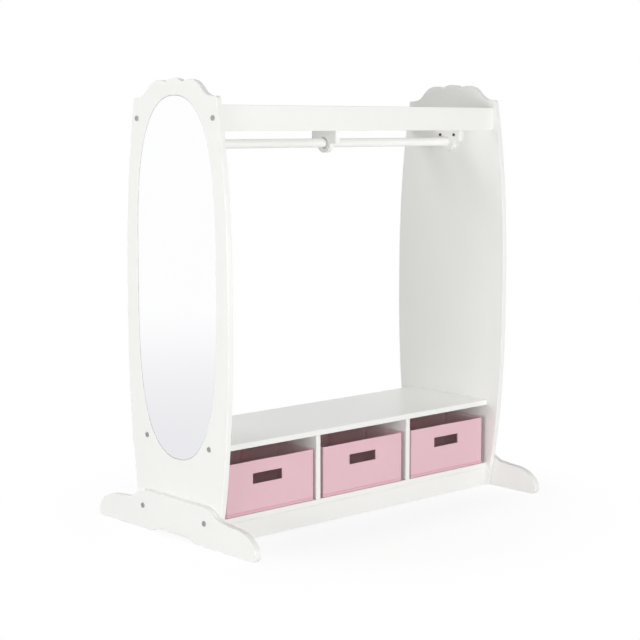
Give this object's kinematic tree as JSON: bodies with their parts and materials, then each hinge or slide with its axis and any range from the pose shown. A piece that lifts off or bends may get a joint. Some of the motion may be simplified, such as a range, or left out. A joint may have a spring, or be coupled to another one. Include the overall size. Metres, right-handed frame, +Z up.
{
  "type": "dress-up storage unit",
  "caption": "Child's dress-up unit: barrel-shaped sides with a scalloped crown and oval mirror, hanging rod under top rails, bench with pull-out fabric bins.",
  "frame": {"origin": "on the floor under the middle of the unit", "axes": "+X to the right along the width (the mirror is on the -X side), +Y to the rear, +Z up; the bins open to -Y"},
  "size_m": [1.09, 0.672, 1.191],
  "materials": {
    "white_paint": "satin white paint on board",
    "mirror": "polished",
    "tape": "foam tape",
    "pink_fabric": "woven, matt",
    "bin_board": "fabric-covered board",
    "dark_steel": "dark zinc",
    "bare_wood": "bare beech"
  },
  "bodies": {
    "frame": {"left_side_panel": "white_paint", "right_side_panel": "white_paint", "mirror_glass": "mirror", "mirror_tapes": "tape", "left_foot": "white_paint", "right_foot": "white_paint", "front_top_rail": "white_paint", "rear_top_rail": "white_paint", "rod_hanger": "white_paint", "left_rod_block": "white_paint", "right_rod_block": "white_paint", "bench_top": "white_paint", "bottom_shelf": "white_paint", "front_apron": "white_paint", "rear_apron": "white_paint", "back_panel": "white_paint", "left_divider": "white_paint", "right_divider": "white_paint", "rail_bolts": "dark_steel", "bench_bolts": "dark_steel", "foot_bolts": "dark_steel", "rail_barrel_nuts": "dark_steel", "bench_barrel_nuts": "dark_steel", "shelf_barrel_nuts": "dark_steel", "rail_dowels": "bare_wood", "bench_dowels": "bare_wood", "shelf_dowels": "bare_wood", "apron_dowels": "bare_wood", "divider_dowels": "bare_wood", "hanger_dowels": "bare_wood", "foot_dowels": "bare_wood", "rod_block_screws": "dark_steel", "back_panel_nails": "dark_steel"},
    "rod": {"hanging_rod": "white_paint"},
    "left_bin_box": {"left_bin": "pink_fabric", "left_bin_base": "bin_board"},
    "middle_bin_box": {"middle_bin": "pink_fabric", "middle_bin_base": "bin_board"},
    "right_bin_box": {"right_bin": "pink_fabric", "right_bin_base": "bin_board"}
  },
  "joints": [
    {"name": "rod_turn", "type": "hinge", "parent": "frame", "child": "rod", "pos_m": [0, 0, 1.023], "axis": [1, 0, 0], "continuous": true},
    {"name": "left_bin_pull", "type": "slide", "parent": "frame", "child": "left_bin_box", "axis": [0, -1, 0], "range_m": [0, 0.28]},
    {"name": "middle_bin_pull", "type": "slide", "parent": "frame", "child": "middle_bin_box", "axis": [0, -1, 0], "range_m": [0, 0.28]},
    {"name": "right_bin_pull", "type": "slide", "parent": "frame", "child": "right_bin_box", "axis": [0, -1, 0], "range_m": [0, 0.28]}
  ]
}
